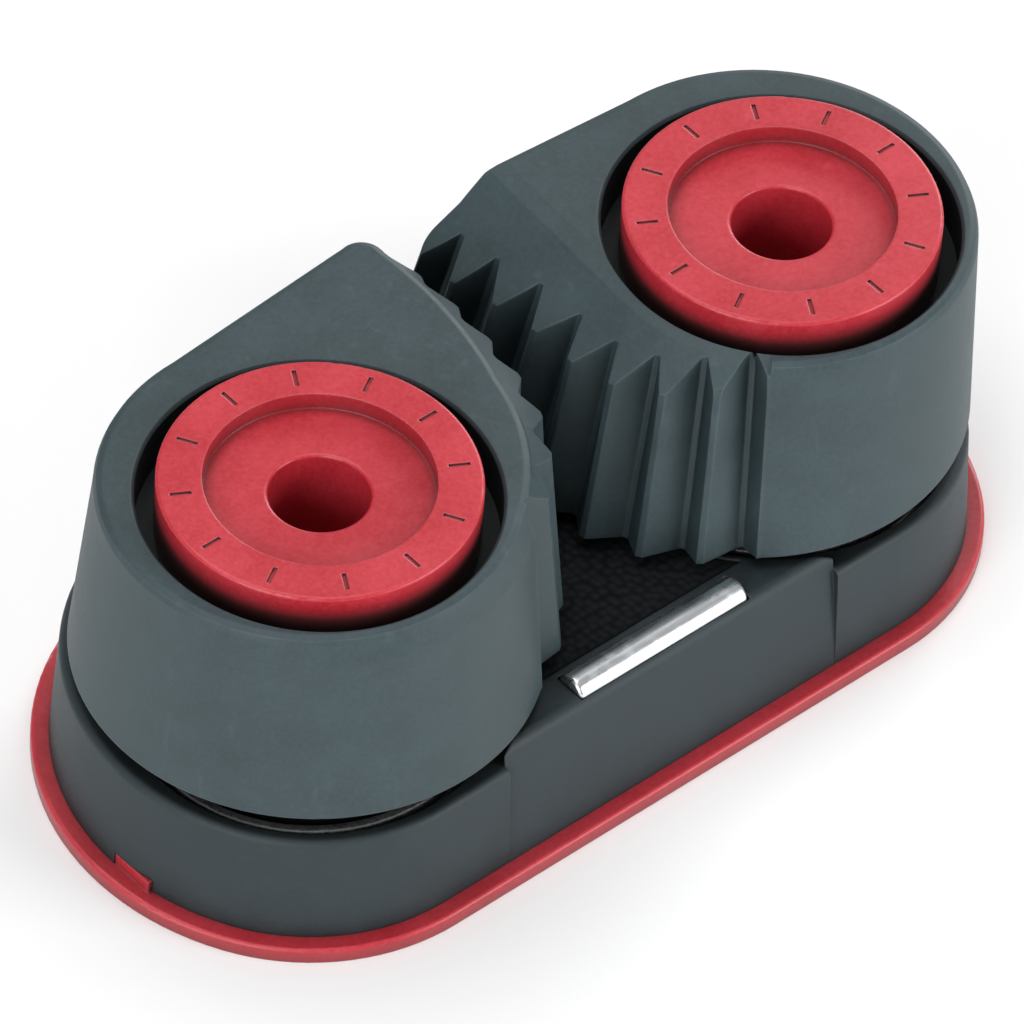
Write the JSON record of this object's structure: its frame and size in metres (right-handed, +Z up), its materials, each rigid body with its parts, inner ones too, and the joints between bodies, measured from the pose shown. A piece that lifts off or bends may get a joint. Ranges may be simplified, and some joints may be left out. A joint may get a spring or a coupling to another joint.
{
  "type": "cam cleat",
  "caption": "Cam cleat that grips a line between two sprung toothed cams on ball bearings, on a flanged base with a wear bar.",
  "frame": {"origin": "on the underside of the base plate, midway between the two fastener holes", "axes": "+X across the line from the left cam's pivot to the right cam's, +Y the way the line is pulled to tighten it, so that the load pulls towards -Y over the wear bar, +Z up from the mounting surface"},
  "size_m": [0.0686, 0.0351, 0.0281],
  "materials": {
    "cam_composite": "satin moulded carbon-filled composite",
    "base_composite": "fine-grained moulded composite",
    "red_plastic": "satin moulded",
    "stainless_bar": "polished",
    "spring_steel": "drawn wire",
    "ball_plastic": "moulded, smooth",
    "slip_plastic": "slippery, natural white"
  },
  "bodies": {
    "root": {"base_plate": "red_plastic", "base_body": "base_composite", "wear_bar": "stainless_bar", "left_bearing_post": "red_plastic", "left_spring": "spring_steel", "left_lower_washer": "slip_plastic", "left_upper_washer": "slip_plastic", "right_bearing_post": "red_plastic", "right_spring": "spring_steel", "right_lower_washer": "slip_plastic", "right_upper_washer": "slip_plastic"},
    "left_cam_body": {"left_cam": "cam_composite"},
    "left_bearing": {"left_lower_balls": "ball_plastic", "left_middle_balls": "ball_plastic", "left_upper_balls": "ball_plastic", "left_lower_spacer": "slip_plastic", "left_upper_spacer": "slip_plastic"},
    "right_cam_body": {"right_cam": "cam_composite"},
    "right_bearing": {"right_lower_balls": "ball_plastic", "right_middle_balls": "ball_plastic", "right_upper_balls": "ball_plastic", "right_lower_spacer": "slip_plastic", "right_upper_spacer": "slip_plastic"}
  },
  "joints": [
    {"name": "left_cam_pivot", "type": "hinge", "parent": "root", "child": "left_cam_body", "pos_m": [-0.01905, 0, 0], "axis": [0, 0, 1], "range_deg": [0, 50], "stiffness_Nm_per_rad": 0.08, "springref_deg": -34.38, "deforming": ["left_spring"]},
    {"name": "left_bearing_turn", "type": "hinge", "parent": "root", "child": "left_bearing", "pos_m": [-0.01905, 0, 0], "axis": [0, 0, 1], "range_deg": [0, 30]},
    {"name": "right_cam_pivot", "type": "hinge", "parent": "root", "child": "right_cam_body", "pos_m": [0.01905, 0, 0], "axis": [0, 0, -1], "range_deg": [0, 50], "stiffness_Nm_per_rad": 0.08, "springref_deg": -34.38, "deforming": ["right_spring"]},
    {"name": "right_bearing_turn", "type": "hinge", "parent": "root", "child": "right_bearing", "pos_m": [0.01905, 0, 0], "axis": [0, 0, -1], "range_deg": [0, 30]}
  ],
  "couplings": [
    {"joint": "left_bearing_turn", "follows": "left_cam_pivot", "ratio": 0.5694},
    {"joint": "right_bearing_turn", "follows": "right_cam_pivot", "ratio": 0.5694}
  ]
}
